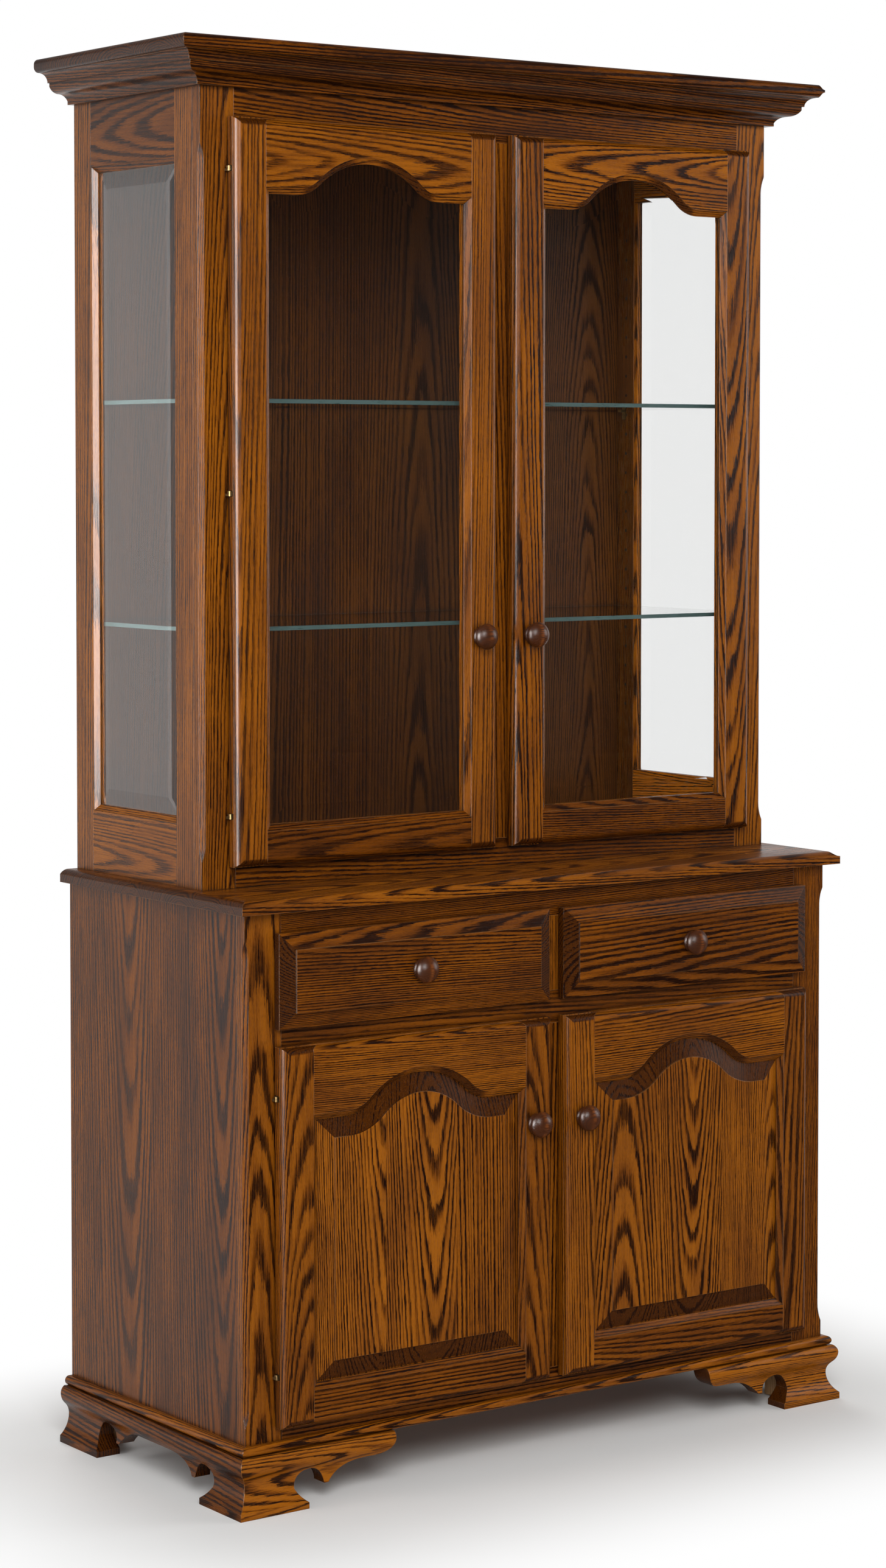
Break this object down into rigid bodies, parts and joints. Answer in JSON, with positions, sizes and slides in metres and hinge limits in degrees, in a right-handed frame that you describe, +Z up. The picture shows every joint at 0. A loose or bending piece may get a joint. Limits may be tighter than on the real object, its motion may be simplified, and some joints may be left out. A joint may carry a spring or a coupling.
{
  "type": "dresser with hutch",
  "caption": "Oak china hutch on a dresser base: arched bevelled-glass doors and glass sides above, drawers and arched raised-panel doors below, on ogee bracket feet under a sprung crown.",
  "frame": {"origin": "on the floor, under the middle of the whole piece with its knobs", "axes": "+Z up, -Y towards the person who opens the doors, +X to that person's right"},
  "size_m": [1.188, 0.5346, 2.072],
  "materials": {
    "oak": "stained oak, satin lacquer",
    "inner_wood": "clear lacquer",
    "glass": "clear, polished edges",
    "brass": "polished"
  },
  "bodies": {
    "case": {"base_back_panel": "oak", "base_bottom_panel": "oak", "base_bottom_rail": "oak", "base_face_stiles": "oak", "base_left_side_panel": "oak", "base_middle_rail": "oak", "base_moulding": "oak", "base_mullions": "oak", "base_right_side_panel": "oak", "base_shelf": "oak", "base_shelf_cleats": "inner_wood", "base_top_rail": "oak", "countertop": "oak", "crown_moulding": "oak", "crown_slab": "oak", "drawer_runners": "inner_wood", "foot_glue_blocks": "inner_wood", "front_brackets": "oak", "glass_shelves": "glass", "hinge_frame_leaves": "brass", "hutch_back_panel": "oak", "hutch_bottom_panel": "oak", "hutch_bottom_rail": "oak", "hutch_centre_stile": "oak", "hutch_face_stiles": "oak", "hutch_left_side_frame": "oak", "hutch_right_side_frame": "oak", "hutch_side_panes": "glass", "hutch_side_stops": "oak", "hutch_top_panel": "oak", "hutch_top_rail": "oak", "shelf_pins": "brass", "side_brackets": "oak"},
    "hutch_left_door": {"hutch_left_door_glass": "glass", "hutch_left_door_glass_stops": "oak", "hutch_left_door_hinge_leaves": "brass", "hutch_left_door_rails": "oak", "hutch_left_door_stiles": "oak"},
    "hutch_right_door": {"hutch_right_door_glass": "glass", "hutch_right_door_glass_stops": "oak", "hutch_right_door_hinge_leaves": "brass", "hutch_right_door_rails": "oak", "hutch_right_door_stiles": "oak"},
    "base_left_door": {"base_left_door_hinge_leaves": "brass", "base_left_door_panel": "oak", "base_left_door_rails": "oak", "base_left_door_stiles": "oak"},
    "base_right_door": {"base_right_door_hinge_leaves": "brass", "base_right_door_panel": "oak", "base_right_door_rails": "oak", "base_right_door_stiles": "oak"},
    "left_drawer": {"left_drawer_box": "inner_wood", "left_drawer_front": "oak"},
    "right_drawer": {"right_drawer_box": "inner_wood", "right_drawer_front": "oak"}
  },
  "joints": [
    {"name": "hutch_left_door_hinge", "type": "hinge", "parent": "case", "child": "hutch_left_door", "pos_m": [-0.481, -0.09325, 1.432], "axis": [0, 0, -1], "range_deg": [0, 110]},
    {"name": "hutch_right_door_hinge", "type": "hinge", "parent": "case", "child": "hutch_right_door", "pos_m": [0.481, -0.09325, 1.432], "axis": [0, 0, 1], "range_deg": [0, 110]},
    {"name": "base_left_door_hinge", "type": "hinge", "parent": "case", "child": "base_left_door", "pos_m": [-0.49, -0.22475, 0.388], "axis": [0, 0, -1], "range_deg": [0, 110]},
    {"name": "base_right_door_hinge", "type": "hinge", "parent": "case", "child": "base_right_door", "pos_m": [0.49, -0.22475, 0.388], "axis": [0, 0, 1], "range_deg": [0, 110]},
    {"name": "left_drawer_slide", "type": "slide", "parent": "case", "child": "left_drawer", "axis": [0, -1, 0], "range_m": [0, 0.33]},
    {"name": "right_drawer_slide", "type": "slide", "parent": "case", "child": "right_drawer", "axis": [0, -1, 0], "range_m": [0, 0.33]}
  ]
}
